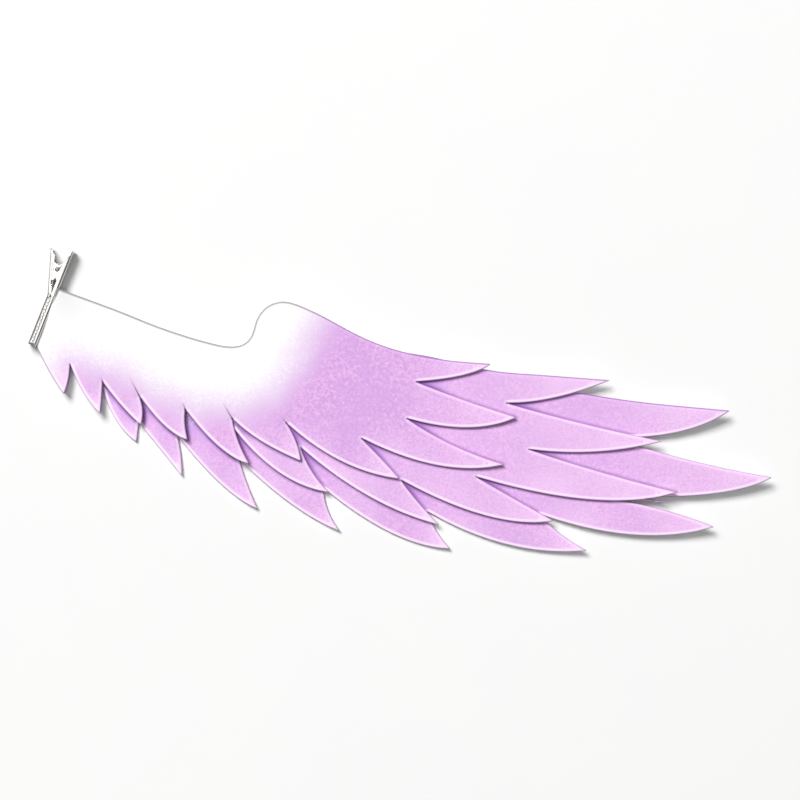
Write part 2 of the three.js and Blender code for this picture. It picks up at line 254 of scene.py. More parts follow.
sheets = {}
for name in SHEETS:
    loop, tips, notches, leading = smooth_outline(outlines[name])
    loop = blunt(loop, tips)
    notches.sort(key=lambda notch: loop[notch][0])
    sheets[name] = {"loop": loop, "tips": [], "notches": notches, "leading": leading}
    for tip in tips:
        near = min(np.linalg.norm(loop[notch] - loop[tip]) for notch in notches)
        if loop[tip][0] > wing_low.x + ROOT_CLEAR and near > SMALLEST_FEATHER:
            sheets[name]["tips"].append((loop[tip], near))
print("feathers:", {name: len(sheet["tips"]) for name, sheet in sheets.items()})


def tip_lift(name, places):
    """Lift of one sheet by its own tips."""
    lift = np.zeros(len(places))
    for tip, length in sheets[name]["tips"]:
        reach = LIFT_REACH * max(length, SHORTEST_LIFT)
        share = np.clip(1 - np.linalg.norm(places - tip, axis=1) / reach, 0, 1)
        height = TIP_LIFT[name] * min(1.0, length / FULL_FEATHER)
        lift = np.maximum(lift, height * share * share)
    return lift


def lift_at(name, places):
    """Whole lift of a sheet: the shared curl, and the tips of this sheet and of those under it."""
    along = np.clip(((places[:, 0] - wing_origin[0]) / wing_span - CURL_FROM) / (1 - CURL_FROM), 0, 1)
    lift = CURL_HEIGHT * along * along * (3 - 2 * along)
    for under in SHEETS[:SHEETS.index(name) + 1]:
        lift = lift + tip_lift(under, places)
    return lift


# %% [markdown]
# ## Where the spray is
# The top sheet is left white along its leading edge from the clip to the shoulder. A line of a few
# points marks the middle of the soft change to lilac. The lilac is a little more violet deep
# between the feathers, and paler towards each tip. The cut edges keep a pale rim, partly unsprayed
# foam and partly a painted highlight, strongest where they face down the wing. Under the notches
# and cut edges of the sheets above, painted shade darkens the lilac. These become numbers on the
# mesh's points, which the paint reads, so the colour follows the cut shapes.

# %% Spray and tint
SPRAY_LINE = on_wing([
    [-0.046, 0.600],
    [-0.018, 0.370],
    [0.006, 0.246],
    [0.080, 0.304],
    [0.130, 0.385],
    [0.190, 0.440],
    [0.250, 0.445],
    [0.295, 0.400],
    [0.328, 0.290],
    [0.350, 0.170],
    [0.372, 0.060],
    [0.385, -0.150],
])
SPRAY_HALF_WIDTH = 15 * MM
TINT_REACH = 1.15
SHORTEST_TINT = 14 * MM


def signed_from_line(line, places):
    """Distance from an open line, negative on the side of the leading edge."""
    best = np.full(len(places), 1e9)
    side = np.ones(len(places))
    for start, end in zip(line[:-1], line[1:]):
        run = end - start
        offset = places - start
        share = np.clip(offset @ run / (run @ run), 0, 1)
        gap = offset - share[:, None] * run
        distance = np.linalg.norm(gap, axis=1)
        cross = run[0] * offset[:, 1] - run[1] * offset[:, 0]
        closer = distance < best
        best = np.where(closer, distance, best)
        side = np.where(closer, np.where(cross > 0, -1.0, 1.0), side)
    return best * side


def spray_at(places):
    """0 where the foam is left white, 1 where it is fully sprayed."""
    return np.clip(0.5 + signed_from_line(SPRAY_LINE, places) / (2 * SPRAY_HALF_WIDTH), 0, 1)


def tint_at(name, places):
    """0 at a feather's tip, 1 deep between the feathers and on the body of the wing."""
    tint = np.ones(len(places))
    for tip, length in sheets[name]["tips"]:
        reach = TINT_REACH * max(length, SHORTEST_TINT)
        tint = np.minimum(tint, np.linalg.norm(places - tip, axis=1) / reach)
    return np.clip(tint, 0, 1)


NOOK_REACH = 20 * MM
FAR_MM = 5.0
CREASE_ROWS = (0.0, 0.5, 1.0, 1.6, 2.4)
CREASE_CLEAR = 0.25 * MM


def nook_at(name, places):
    """1 right under a notch of a sheet above, fading out round it, where the paint lays deeper spray and
    painted shade.
    """
    nook = np.zeros(len(places))
    for above in SHEETS[SHEETS.index(name) + 1:]:
        for notch in sheets[above]["notches"]:
            gap = np.linalg.norm(places - sheets[above]["loop"][notch], axis=1)
            nook = np.maximum(nook, np.clip(1 - gap / NOOK_REACH, 0, 1))
    return nook


def crease_at(name, places):
    """Distance in mm from the cut edges of the sheets that lie on this one, up to FAR_MM. The paint lays
    a painted shadow line by it.
    """
    gap = np.full(len(places), FAR_MM)
    for above in SHEETS[SHEETS.index(name) + 1:]:
        gap = np.minimum(gap, distance_to(sheets[above]["loop"], places) / MM)
    return gap


def crease_points(name):
    """Rows of points along the cut edges of the sheet that lies on this one."""
    above = SHEETS[SHEETS.index(name) + 1:][:1]
    if not above:
        return np.zeros((0, 2))
    loop = sheets[above[0]]["loop"]
    ahead = np.roll(loop, -1, axis=0) - np.roll(loop, 1, axis=0)
    outward = np.stack([ahead[:, 1], -ahead[:, 0]], axis=1) / np.linalg.norm(ahead, axis=1)[:, None]
    rows = np.concatenate([loop + shift * MM * outward for shift in CREASE_ROWS])
    gap = distance_to(loop, rows)
    return rows[(gap > CREASE_CLEAR) | (np.arange(len(rows)) < len(loop))]


RIM_FADES_TOWARDS = np.array([0.45, 0.89])
RIM_WEAKEST = 0.35
RIM_CONTRAST = 1.4
RIM_LEADING = 0.1


def rim_at(name, edges):
    """How pale the rim is beside each edge, partly unsprayed foam and partly a painted highlight: most
    where the edge faces down the wing.
    """
    loop = sheets[name]["loop"]
    run = np.roll(loop, -1, axis=0) - loop
    outward = np.stack([run[:, 1], -run[:, 0]], axis=1) / np.linalg.norm(run, axis=1)[:, None]
    away = np.clip(0.5 - 0.5 * (outward @ RIM_FADES_TOWARDS) * RIM_CONTRAST, 0, 1)
    strength = RIM_WEAKEST + (1 - RIM_WEAKEST) * away
    return np.where(sheets[name]["leading"], RIM_LEADING, strength)[edges]


# %% [markdown]
# ## Slits behind the small notches
# Behind the notches near the clip the cut runs on into the top sheet as a fine closed slit. Each
# slit is a line from its notch, in the direction that the notch points. Rows of points on and
# beside the line let the mesh sink there, and a number on those points darkens the paint.

# %% Slits of the top sheet
SLIT_COLUMNS = ("notch", "length_mm")
SLITS = [
    (1, 2.5),
    (2, 10.5),
    (3, 4.0),
    (4, 9.5),
    (5, 3.0),
]
SLIT_HALF_WIDTH = 0.5 * MM
SLIT_DEPTH = 0.5 * MM
SLIT_SHARES = np.linspace(0.06, 1.05, 16)
SLIT_SHIFTS = (-1.0, -0.5, 0.0, 0.5, 1.0)
NOTCH_SIDE = 6


def slit_lines(name):
    """Start and end of each slit, or nothing for a sheet that has none."""
    lines = []
    if name != "wing_top_layer":
        return lines
    loop = sheets[name]["loop"]
    for row in SLITS:
        slit = dict(zip(SLIT_COLUMNS, row))
        notch = sheets[name]["notches"][slit["notch"]]
        before = loop[notch] - loop[notch - NOTCH_SIDE]
        after = loop[notch] - loop[(notch + NOTCH_SIDE) % len(loop)]
        heading = before / np.linalg.norm(before) + after / np.linalg.norm(after)
        heading = heading / np.linalg.norm(heading)
        lines.append((loop[notch], loop[notch] + slit["length_mm"] * MM * heading))
    return lines


def slit_at(lines, places):
    """1 in the middle of a slit at its notch, fading to its sides and to its end."""
    mark = np.zeros(len(places))
    for start, end in lines:
        run = end - start
        share = np.clip((places - start) @ run / (run @ run), 0, 1)
        gap = np.linalg.norm(places - start - share[:, None] * run, axis=1)
        mark = np.maximum(mark, np.clip(1 - gap / SLIT_HALF_WIDTH, 0, 1) * (1 - share))
    return mark


def slit_points(lines):
    """Points on both sides of each slit, close enough together to carry its dent."""
    rows = []
    for start, end in lines:
        run = end - start
        side = np.array([-run[1], run[0]]) / np.linalg.norm(run)
        for share in SLIT_SHARES:
            for shift in SLIT_SHIFTS:
                rows.append(start + share * run + shift * SLIT_HALF_WIDTH * side)
    return np.array(rows).reshape(-1, 2)


# %% [markdown]
# ## Building a sheet
# A sheet's face is filled with points: rings just inside the cut edge, where the foam rounds over,
# and an even grid further in. A Delaunay triangulation joins them without crossing the outline.
# The same triangles make the upper and the lower face, and a narrow wall joins the two. The height
# of each point comes from its distance to the edge, as a quarter circle. The underside got little
# spray, and its distances to the edge start higher, so that the dark line of painted shade along the
# cut stays at the top.

# %% Sheet builder
EDGE_RADIUS = 0.85 * MM
RINGS = [(0.12 * MM, 1), (0.35 * MM, 1), (0.70 * MM, 1), (1.20 * MM, 2), (2.00 * MM, 3)]
RING_CLEAR = 0.93
GRID_STEP = 2.8 * MM
GRID_CLEAR = 2.7 * MM
ROW_SHARE = math.sqrt(0.75)
POINTS_APART = 0.3 * MM
OUTLINE_CLEAR = 0.1 * MM
INSIDE_ONLY = 1
SAME_POINT_MM = 1e-5
UNDERSIDE_SPRAY = 0.2
CUT_SHADE_FADE = 3.0


def ring_points(loop, depth, stride):
    """Points a given depth inside the outline, without those that come too near another edge."""
    ahead = np.roll(loop, -1, axis=0) - np.roll(loop, 1, axis=0)
    inward = np.stack([-ahead[:, 1], ahead[:, 0]], axis=1) / np.linalg.norm(ahead, axis=1)[:, None]
    ring = (loop + depth * inward)[::stride]
    ring = ring[inside(loop, ring)]
    return ring[distance_to(loop, ring) > RING_CLEAR * depth]


def grid_points(loop):
    """An even grid of points, each row shifted by half a step, well inside the outline."""
    low, high = loop.min(axis=0), loop.max(axis=0)
    rows = np.arange(low[1], high[1], GRID_STEP * ROW_SHARE)
    places = []
    for index, y in enumerate(rows):
        x = np.arange(low[0] + (index % 2) * GRID_STEP / 2, high[0], GRID_STEP)
        places.append(np.stack([x, np.full(len(x), y)], axis=1))
    grid = np.concatenate(places)
    grid = grid[inside(loop, grid)]
    return grid[distance_to(loop, grid) > GRID_CLEAR]


def apart(places, others):
    """True for each place that keeps clear of all the others."""
    result = []
    for first in range(0, len(places), CHUNK):
        gaps = places[first:first + CHUNK, None, :] - others[None]
        result.append(np.min(np.sum(gaps * gaps, axis=2), axis=1) > POINTS_APART ** 2)
    return np.concatenate(result)


def filled(loop, extra):
    """Points and triangles that fill the outline. The outline's own points come first."""
    parts = [loop] + [ring_points(loop, depth, stride) for depth, stride in RINGS] + [grid_points(loop)]
    if len(extra):
        kept = extra[inside(loop, extra)]
        kept = kept[distance_to(loop, kept) > OUTLINE_CLEAR]
        parts = [loop, kept] + [part[apart(part, kept)] for part in parts[1:]]
    places = np.concatenate(parts)
    count = len(loop)
    edges = [(i, (i + 1) % count) for i in range(count)]
    scaled = [Vector(place) for place in places / MM]
    verts, _, faces, origins, _, _ = delaunay_2d_cdt(scaled, edges, [], INSIDE_ONLY, SAME_POINT_MM)
    order = {origin: index for index, group in enumerate(origins) for origin in group}
    places = np.array([[v.x, v.y] for v in verts]) * MM
    rim = [order[i] for i in range(count)]
    return places, [tuple(face) for face in faces], rim


def add_number(mesh, name, values):
    """Stores one number on each point of a mesh, for the paint to read."""
    numbers = mesh.attributes.new(name, "FLOAT", "POINT")
    numbers.data.foreach_set("value", np.asarray(values, dtype=np.float32))


def build_sheet(name, piece_name):
    """One foam sheet with rounded cut edges, lifted tips and the numbers that the paint needs."""
    loop = sheets[name]["loop"]
    low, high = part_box(name)
    thickness = high.z - low.z
    lines = slit_lines(name)
    places, faces, rim = filled(loop, np.concatenate([slit_points(lines), crease_points(name)]))
    depth, edges = nearest_edge(loop, places)
    depth[rim] = 0.0
    near = np.clip(EDGE_RADIUS - depth, 0, EDGE_RADIUS)
    rounding = EDGE_RADIUS - np.sqrt(EDGE_RADIUS ** 2 - near ** 2)
    lift = lift_at(name, places)
    slit = slit_at(lines, places)
    upper = low.z + thickness - rounding + lift - SLIT_DEPTH * slit
    lower = low.z + rounding + lift
    count = len(places)
    verts = np.concatenate([np.column_stack([places, upper]), np.column_stack([places, lower])])
    tops, bottoms = [], []
    for a, b, c in faces:
        turn = np.cross(places[b] - places[a], places[c] - places[a])
        a, b, c = (a, b, c) if turn > 0 else (a, c, b)
        tops.append((a, b, c))
        bottoms.append((a + count, c + count, b + count))
    wall = [(i + count, j + count, j, i) for i, j in zip(rim, rim[1:] + rim[:1])]
    mesh = bpy.data.meshes.new(piece_name)
    mesh.from_pydata(verts.tolist(), [], tops + bottoms + wall)
    mesh.shade_smooth()
    edge_mm = np.clip(depth / MM, 0, FAR_MM)
    add_number(mesh, "edge_mm", np.concatenate([edge_mm, edge_mm + CUT_SHADE_FADE]))
    add_number(mesh, "tint", np.tile(tint_at(name, places), 2))
    add_number(mesh, "nook", np.tile(nook_at(name, places), 2))
    add_number(mesh, "crease_mm", np.tile(crease_at(name, places), 2))
    add_number(mesh, "leading", np.tile(sheets[name]["leading"][edges].astype(float), 2))
    add_number(mesh, "rim", np.tile(rim_at(name, edges), 2))
    spray = spray_at(places)
    add_number(mesh, "spray", np.concatenate([spray, UNDERSIDE_SPRAY * spray]))
    add_number(mesh, "slit", np.concatenate([slit, np.zeros(count)]))
    piece = bpy.data.objects.new(piece_name, mesh)
    bpy.context.scene.collection.objects.link(piece)
    print(piece_name, "points:", len(verts), "triangles:", 2 * len(faces) + 2 * len(wall))
    return piece


# %% Build the three sheets
foam = {
    "wing_bottom_layer": build_sheet("wing_bottom_layer", "feathers_back"),
    "wing_middle_layer": build_sheet("wing_middle_layer", "feathers_middle"),
    "wing_top_layer": build_sheet("wing_top_layer", "feathers_front"),
}

# %% [markdown]
# ## Shader maths as plain sums
# A material is a net of nodes, and sums made of Math nodes are hard to read. The Signal class wraps
# a node's output and turns +, - and * into Math nodes, so paint can be written as arithmetic. Every
# other node comes from add_node, which sets the node up first and then fills its inputs. The sky
# and the spring's wire use it too.

# %% Nodes from one function
def fill(tree, socket, value):
    """Links a signal or an output to a socket, or sets the socket to a plain value."""
    if isinstance(value, Signal):
        value = value.socket
    if isinstance(value, bpy.types.NodeSocket):
        tree.links.new(value, socket)
    else:
        socket.default_value = value


def add_node(tree, kind, settings, sockets):
    """Makes a node, sets it up, and then fills its inputs."""
    made = tree.nodes.new(kind)
    for key, value in settings.items():
        setattr(made, key, value)
    for key, value in sockets.items():
        fill(tree, made.inputs[key], value)
    return made


# %% Signals and finishes
class Signal:
    """A number that varies over a surface."""

    def __init__(self, tree, socket):
        self.tree = tree
        self.socket = socket

    def _sum(self, operation, first, second):
        node = add_node(self.tree, "ShaderNodeMath", {"operation": operation}, {0: first, 1: second})
        return Signal(self.tree, node.outputs[0])

    def __add__(self, other):
        return self._sum("ADD", self, other)

    def __radd__(self, other):
        return self._sum("ADD", other, self)

    def __sub__(self, other):
        return self._sum("SUBTRACT", self, other)

    def __rsub__(self, other):
        return self._sum("SUBTRACT", other, self)

    def __mul__(self, other):
        return self._sum("MULTIPLY", self, other)

    def __rmul__(self, other):
        return self._sum("MULTIPLY", other, self)

    def step(self, low, high):
        """0 below low, 1 above high and a smooth rise between."""
        settings = {"interpolation_type": "SMOOTHSTEP"}
        sockets = {"Value": self, "From Min": low, "From Max": high}
        node = add_node(self.tree, "ShaderNodeMapRange", settings, sockets)
        return Signal(self.tree, node.outputs[0])


MIX_FACTOR, MIX_FIRST, MIX_SECOND = 0, 6, 7
MIX_COLOR = 2


class Finish:
    """A material whose nodes are made one by one."""

    def __init__(self, name):
        self.material = bpy.data.materials.new(name)
        self.material.use_nodes = True
        self.tree = self.material.node_tree
        self.shader = self.tree.nodes["Principled BSDF"]

    def node(self, kind, settings, sockets):
        return add_node(self.tree, kind, settings, sockets)

    def signal(self, kind, settings, sockets, output):
        return Signal(self.tree, self.node(kind, settings, sockets).outputs[output])

    def number(self, name):
        """A number stored on the mesh's points."""
        return self.signal("ShaderNodeAttribute", {"attribute_name": name}, {}, "Fac")

    def place(self):
        """The place on the piece, in metres."""
        return self.node("ShaderNodeTexCoord", {}, {}).outputs["Object"]

    def noise(self, vector, size, detail=2.0, roughness=0.5):
        """Cloudy noise whose blotches are about the given size in metres."""
        sockets = {"Vector": vector, "Scale": 1 / size, "Detail": detail, "Roughness": roughness}
        return self.signal("ShaderNodeTexNoise", {}, sockets, "Fac")

    def stretched(self, vector, scale, turn):
        """The place turned about Z and scaled, for streaks."""
        sockets = {"Vector": vector, "Rotation": (0, 0, turn), "Scale": scale}
        return self.node("ShaderNodeMapping", {}, sockets).outputs[0]

    def blend(self, amount, first, second):
        """A colour that goes from first to second."""
        sockets = {MIX_FACTOR: amount, MIX_FIRST: first, MIX_SECOND: second}
        return self.node("ShaderNodeMix", {"data_type": "RGBA"}, sockets).outputs[MIX_COLOR]

    def bump(self, height, distance):
        sockets = {"Height": height, "Distance": distance, "Strength": 1.0}
        return self.node("ShaderNodeBump", {}, sockets).outputs["Normal"]

    def set(self, **sockets):
        for name, value in sockets.items():
            fill(self.tree, self.shader.inputs[name.replace("_", " ")], value)


def linear(red, green, blue):
    """A colour as the eye reads it, 0 to 255, as the renderer wants it."""
    channels = [value / 255 for value in (red, green, blue)]
    decoded = [c / 12.92 if c <= 0.04045 else ((c + 0.055) / 1.055) ** 2.4 for c in channels]
    return (*decoded, 1)


# %% [markdown]
# ## Sprayed foam
# Craft foam is a closed-cell foam with a dull, very finely grained skin. The spray went on as a
# mist: where it fades, it breaks into specks. Over it lie soft blotches, pinker and more violet.
# The rounding beside a cut catches less spray and shows as a light rim round each feather, partly
# unsprayed foam and partly a painted highlight. The cut itself gets a fine dark line of painted shade,
# grey on the white foam and violet on the lilac. Painted shade also darkens the nooks and the creases
# under the sheets above.

# %% Foam material
FOAM_WHITE = linear(240, 240, 241)
LILAC_TIP = linear(230, 192, 231)
LILAC = linear(207, 161, 217)
LILAC_DEEP = linear(187, 137, 205)
LILAC_PINK = linear(223, 172, 221)
NOOK_SPRAY_AND_SHADE = linear(172, 130, 211)
CREASE_SHADOW_VIOLET = linear(122, 68, 146)
RIM_PALE_AND_HIGHLIGHT = linear(246, 222, 248)
CUT_SHADE_VIOLET = linear(150, 98, 170)
CUT_SHADE_GREY = linear(134, 133, 136)
SLIT_COLOR = linear(120, 80, 130)
SPECK_SIZE = 0.9 * MM
MOTTLE_SIZE = 1.4 * MM
BLOTCH_SIZE = 16 * MM
GRAIN_SIZE = 0.45 * MM
GRAIN_DEPTH = 0.05 * MM


def foam_finish(name, paleness):
    """Spray over foam. Paleness lightens the sheets that got less spray."""
    finish = Finish(name)
    place = finish.place()
    specks = finish.noise(place, SPECK_SIZE, 3.0, 0.7)
    mottle = finish.noise(place, MOTTLE_SIZE, 4.0, 0.68)
    blotches = finish.noise(place, BLOTCH_SIZE, 3.0, 0.55)
    grain = finish.noise(place, GRAIN_SIZE, 2.0, 0.6)
    edge = finish.number("edge_mm")
    spray = finish.number("spray")
    nook = finish.number("nook")
    tint = finish.number("tint") + 0.6 * (blotches - 0.5) + 1.2 * (mottle - 0.5)
    body = finish.blend(tint.step(0.15, 0.9), LILAC_TIP, LILAC)
    body = finish.blend(0.75 * (tint + 0.8 * (specks - 0.5)).step(0.75, 1.2), body, LILAC_DEEP)
    body = finish.blend(0.7 * (blotches + 1.2 * (mottle - 0.5)).step(0.4, 0.75), body, LILAC_PINK)
    body = finish.blend(0.6 * (0.5 * mottle + 0.5 * specks).step(0.41, 0.67), body, LILAC_TIP)
    body = finish.blend(0.6 * (1 - (0.4 * mottle + 0.6 * specks).step(0.33, 0.57)), body, LILAC_DEEP)
    body = finish.blend(paleness, body, LILAC_TIP)
    # Painted shade and deeper spray: violet in the nooks under the notches of the sheets above.
    body = finish.blend(0.75 * (nook + 0.4 * (mottle - 0.5)).step(0.2, 0.9), body, NOOK_SPRAY_AND_SHADE)
    # Painted shadow: a dark violet line on the sheet below, along the cut edges of the sheets that lie on
    # it.
    crease_shadow = 1 - finish.number("crease_mm").step(0.1, 1.5 + 1.2 * nook)
    body = finish.blend((0.45 + 0.5 * nook) * crease_shadow, body, CREASE_SHADOW_VIOLET)
    mist = spray + 0.5 * (specks - 0.5) + 0.5 * (mottle - 0.5) + 0.25 * (blotches - 0.5)
    color = finish.blend(mist.step(0.05, 0.95), FOAM_WHITE, body)
    # Pale rim beside the cut: partly unsprayed foam, partly a painted highlight.
    near_edge = 1 - (edge + 0.5 * (specks - 0.5)).step(0.9, 1.8)
    color = finish.blend(finish.number("rim") * near_edge * spray.step(0.1, 0.6), color, RIM_PALE_AND_HIGHLIGHT)
    # Painted shade along the cut edge itself: grey on white foam, violet on lilac, wider along the
    # leading edge.
    cut_shade = finish.blend(spray.step(0.2, 0.8), CUT_SHADE_GREY, CUT_SHADE_VIOLET)
    leading = finish.number("leading")
    cut_shade_width = 0.38 + 0.4 * leading + 0.45 * (1 - spray)
    cut_shade_depth = 0.65 + 0.2 * leading
    color = finish.blend(cut_shade_depth * (1 - edge.step(0.3 * cut_shade_width, cut_shade_width)), color, cut_shade)
    color = finish.blend(finish.number("slit").step(0.0, 0.9), color, SLIT_COLOR)
    finish.set(
        Base_Color=color,
        Roughness=0.74 + 0.16 * grain,
        Normal=finish.bump(grain + 0.5 * specks, GRAIN_DEPTH),
    )
    return finish.material


foam_slots = {
    "wing_bottom_layer": ("foam_bottom", 0.15),
    "wing_middle_layer": ("foam_middle", 0.25),
    "wing_top_layer": ("foam_top", 0.0),
}
for node, piece in foam.items():
    slot, paleness = foam_slots[node]
    piece.data.materials.append(foam_finish("sprayed_" + slot, paleness))
    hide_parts(node)
    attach(piece, "wing")
print("foam pieces dressed:", [piece.name for piece in foam.values()])

# %% [markdown]
# ## The clip's sheet metal
# The jaws are pressed from thin nickel-plated steel: a strip along the back, bent over along both
# sides. The solids have crisp edges there, which no press leaves. In a welded copy the flat faces
# are joined, the bends get a wide rounding and all other edges a narrow one. The rounded bends
# turn from the bright light above to the dark horizon, which gives the metal its dark outline.

# %% Softened copies of the metal solids
CLIP_LEAN = math.radians(21.8)
WELD = 2e-3 * MM
FLAT_TURN = math.radians(0.6)
CRISP_TURN = math.radians(40)
FACING_BACK = 0.75
BEND_RADIUS = 1.2 * MM
BEND_STEPS = 5
JAW_SOFTENING = 0.09 * MM
PIN_SOFTENING = 0.18 * MM
HOLE_CLEAR = 1.6 * MM

hinge = frame["joints"][0]
pivot = Vector(hinge["pos_m"])
clip_along = Vector((-math.sin(CLIP_LEAN), -math.cos(CLIP_LEAN), 0))
clip_away = Vector((-math.cos(CLIP_LEAN), math.sin(CLIP_LEAN), 0))


def round_bends(form, back):
    """Rounds the bends between a jaw's two flat sides and its outer back."""
    low = min(vert.co.z for vert in form.verts)
    high = max(vert.co.z for vert in form.verts)
    for step in range(1, BEND_STEPS + 1):
        drop = BEND_RADIUS * (1 - math.cos(math.pi / 2 * step / BEND_STEPS))
        for level in (low + drop, high - drop):
            everything = form.verts[:] + form.edges[:] + form.faces[:]
            bmesh.ops.bisect_plane(form, geom=everything, plane_co=(0, 0, level), plane_no=(0, 0, 1))
    bmesh.ops.triangulate(form, faces=form.faces[:])
    form.normal_update()
    outward = {}
    for face in form.faces:
        clear = (face.calc_center_median() - pivot).to_2d().length > HOLE_CLEAR
        if clear and face.normal.dot(back) > FACING_BACK:
            for vert in face.verts:
                outward[vert] = outward.get(vert, Vector()) + face.normal
    for vert, normal in outward.items():
        drop = min(vert.co.z - low, high - vert.co.z)
        left = max(BEND_RADIUS - drop, 0)
        vert.co -= (BEND_RADIUS - math.sqrt(BEND_RADIUS ** 2 - left ** 2)) * normal.normalized()


def softened(node, piece_name, width, back=None):
    """A copy of a metal solid with rounded edges, and wide bends along its back."""
    form = bmesh.new()
    form.from_mesh(frame["nodes"][node].data)
    bmesh.ops.remove_doubles(form, verts=form.verts, dist=WELD)
    bmesh.ops.dissolve_limit(form, angle_limit=FLAT_TURN, verts=form.verts, edges=form.edges)
    form.normal_update()
    if back:
        round_bends(form, back)
    for face in form.faces:
        face.smooth = True
    mesh = bpy.data.meshes.new(piece_name)
    form.to_mesh(mesh)
    form.free()
    piece = bpy.data.objects.new(piece_name, mesh)
    bpy.context.scene.collection.objects.link(piece)
    edges = piece.modifiers.new("softened edges", "BEVEL")
    edges.width = width
    edges.segments = 2
    edges.limit_method = "ANGLE"
    edges.angle_limit = CRISP_TURN
    edges.use_clamp_overlap = True
    flat = piece.modifiers.new("flat faces stay flat", "WEIGHTED_NORMAL")
    flat.weight = 100
    shown = piece.evaluated_get(bpy.context.evaluated_depsgraph_get())
    plain = bpy.data.meshes.new_from_object(shown)
    piece.modifiers.clear()
    piece.data = plain
    print(piece_name, "faces:", len(plain.polygons))
    return piece


clip_pieces = {
    "fixed_jaw": softened("fixed_jaw", "straight_jaw", JAW_SOFTENING, -clip_away),
    "moving_jaw": softened("moving_jaw", "bent_jaw", JAW_SOFTENING, clip_away),
    "pivot_pin": softened("pivot_pin", "hinge_pin", PIN_SOFTENING),
}

# %% [markdown]
# ## The spring's wire
# The spring is round wire that follows a path: a straight leg, then turns round the pin. Geometry
# Nodes suit that well: a line of points becomes a curve, the curve gets even points, and a circle
# swept along it makes the wire. The tree has named inputs for the wire's radius and its fineness.
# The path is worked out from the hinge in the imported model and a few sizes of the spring.

# %% Geometry Nodes tree for wire along a path
def wire_tree(material):
    """The tree and the identifiers of its inputs."""
    tree = bpy.data.node_groups.new("wire along a path", "GeometryNodeTree")
    face = tree.interface
    face.new_socket("Path", in_out="INPUT", socket_type="NodeSocketGeometry")
    radius = face.new_socket("Wire radius", in_out="INPUT", socket_type="NodeSocketFloat")
    spacing = face.new_socket("Point spacing", in_out="INPUT", socket_type="NodeSocketFloat")
    sides = face.new_socket("Sides", in_out="INPUT", socket_type="NodeSocketInt")
    face.new_socket("Wire", in_out="OUTPUT", socket_type="NodeSocketGeometry")
    entry = add_node(tree, "NodeGroupInput", {}, {}).outputs
    curve = add_node(tree, "GeometryNodeMeshToCurve", {}, {"Mesh": entry["Path"]}).outputs["Curve"]
    sockets = {"Curve": curve, "Length": entry["Point spacing"]}
    even = add_node(tree, "GeometryNodeResampleCurve", {"mode": "LENGTH"}, sockets).outputs["Curve"]
    sockets = {"Resolution": entry["Sides"], "Radius": entry["Wire radius"]}
    circle = add_node(tree, "GeometryNodeCurvePrimitiveCircle", {}, sockets).outputs["Curve"]
    sockets = {"Curve": even, "Profile Curve": circle, "Fill Caps": True}
    swept = add_node(tree, "GeometryNodeCurveToMesh", {}, sockets).outputs["Mesh"]
    smooth = add_node(tree, "GeometryNodeSetShadeSmooth", {}, {"Geometry": swept}).outputs["Geometry"]
    real = add_node(tree, "GeometryNodeRealizeInstances", {}, {"Geometry": smooth}).outputs["Geometry"]
    sockets = {"Geometry": real, "Material": material}
    coated = add_node(tree, "GeometryNodeSetMaterial", {}, sockets).outputs["Geometry"]
    add_node(tree, "NodeGroupOutput", {}, {"Wire": coated})
    return tree, {"radius": radius.identifier, "spacing": spacing.identifier, "sides": sides.identifier}


# %% [markdown]
# ## Nickel plate and spring steel
# Nickel plate is bright and slightly warm. Handling leaves it with fine rubbed marks along the
# clip and a faint haze, so its roughness wanders a little and a very fine grain runs lengthwise.
# The spring is plain wire, greyer and duller, and the pin is plain steel, darker than both; the pin's
# dark grey is also painted shade for the bottom of the V between the levers.

# %% Metal materials
MARK_SIZE = 0.25 * MM
MARK_STRETCH = (1.0, 0.06, 1.0)
HAZE_SIZE = 2.0 * MM
PLATE_MARKS = 0.012 * MM
STEEL_MARKS = 0.015 * MM


def metal_finish(name, color, dull_color, roughness, haze, mark_depth):
    """Bright metal with lengthwise rubbed marks and a patchy haze."""
    finish = Finish(name)
    place = finish.place()
    marks = finish.noise(finish.stretched(place, MARK_STRETCH, CLIP_LEAN), MARK_SIZE, 3.0)
    patches = finish.noise(place, HAZE_SIZE, 3.0)
    worn = (patches + 0.5 * (marks - 0.5)).step(0.35, 0.75)
    finish.set(
        Base_Color=finish.blend(worn, color, dull_color),
        Metallic=1.0,
        Roughness=roughness + haze * worn,
        Normal=finish.bump(marks, mark_depth),
    )
    return finish.material


BRIGHT_NICKEL = linear(226, 224, 220)
DULL_NICKEL = linear(215, 213, 210)
# The pin's colour is partly plain steel and partly painted shade, dark at the bottom of the V between the
# levers.
PIN_GREY_AND_SHADE = linear(128, 127, 125)
PIN_DULL_AND_SHADE = linear(104, 103, 102)
WIRE_GREY = linear(176, 176, 178)
WIRE_DULL = linear(152, 152, 156)

nickel = metal_finish("nickel_plate", BRIGHT_NICKEL, DULL_NICKEL, 0.15, 0.07, PLATE_MARKS)
pin_steel = metal_finish("pin_steel", PIN_GREY_AND_SHADE, PIN_DULL_AND_SHADE, 0.26, 0.10, STEEL_MARKS)
wire_steel = metal_finish("spring_wire", WIRE_GREY, WIRE_DULL, 0.28, 0.14, STEEL_MARKS)

clip_looks = {
    "fixed_jaw": (nickel, "wing", "clip_steel"),
    "moving_jaw": (nickel, "moving_jaw", "clip_steel"),
    "pivot_pin": (pin_steel, "wing", "pin_steel"),
}
for node, piece in clip_pieces.items():
    material, body, slot = clip_looks[node]
    piece.data.materials.clear()
    piece.data.materials.append(material)
    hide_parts(node)
    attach(piece, body)
print("metal pieces dressed:", [piece.name for piece in clip_pieces.values()])

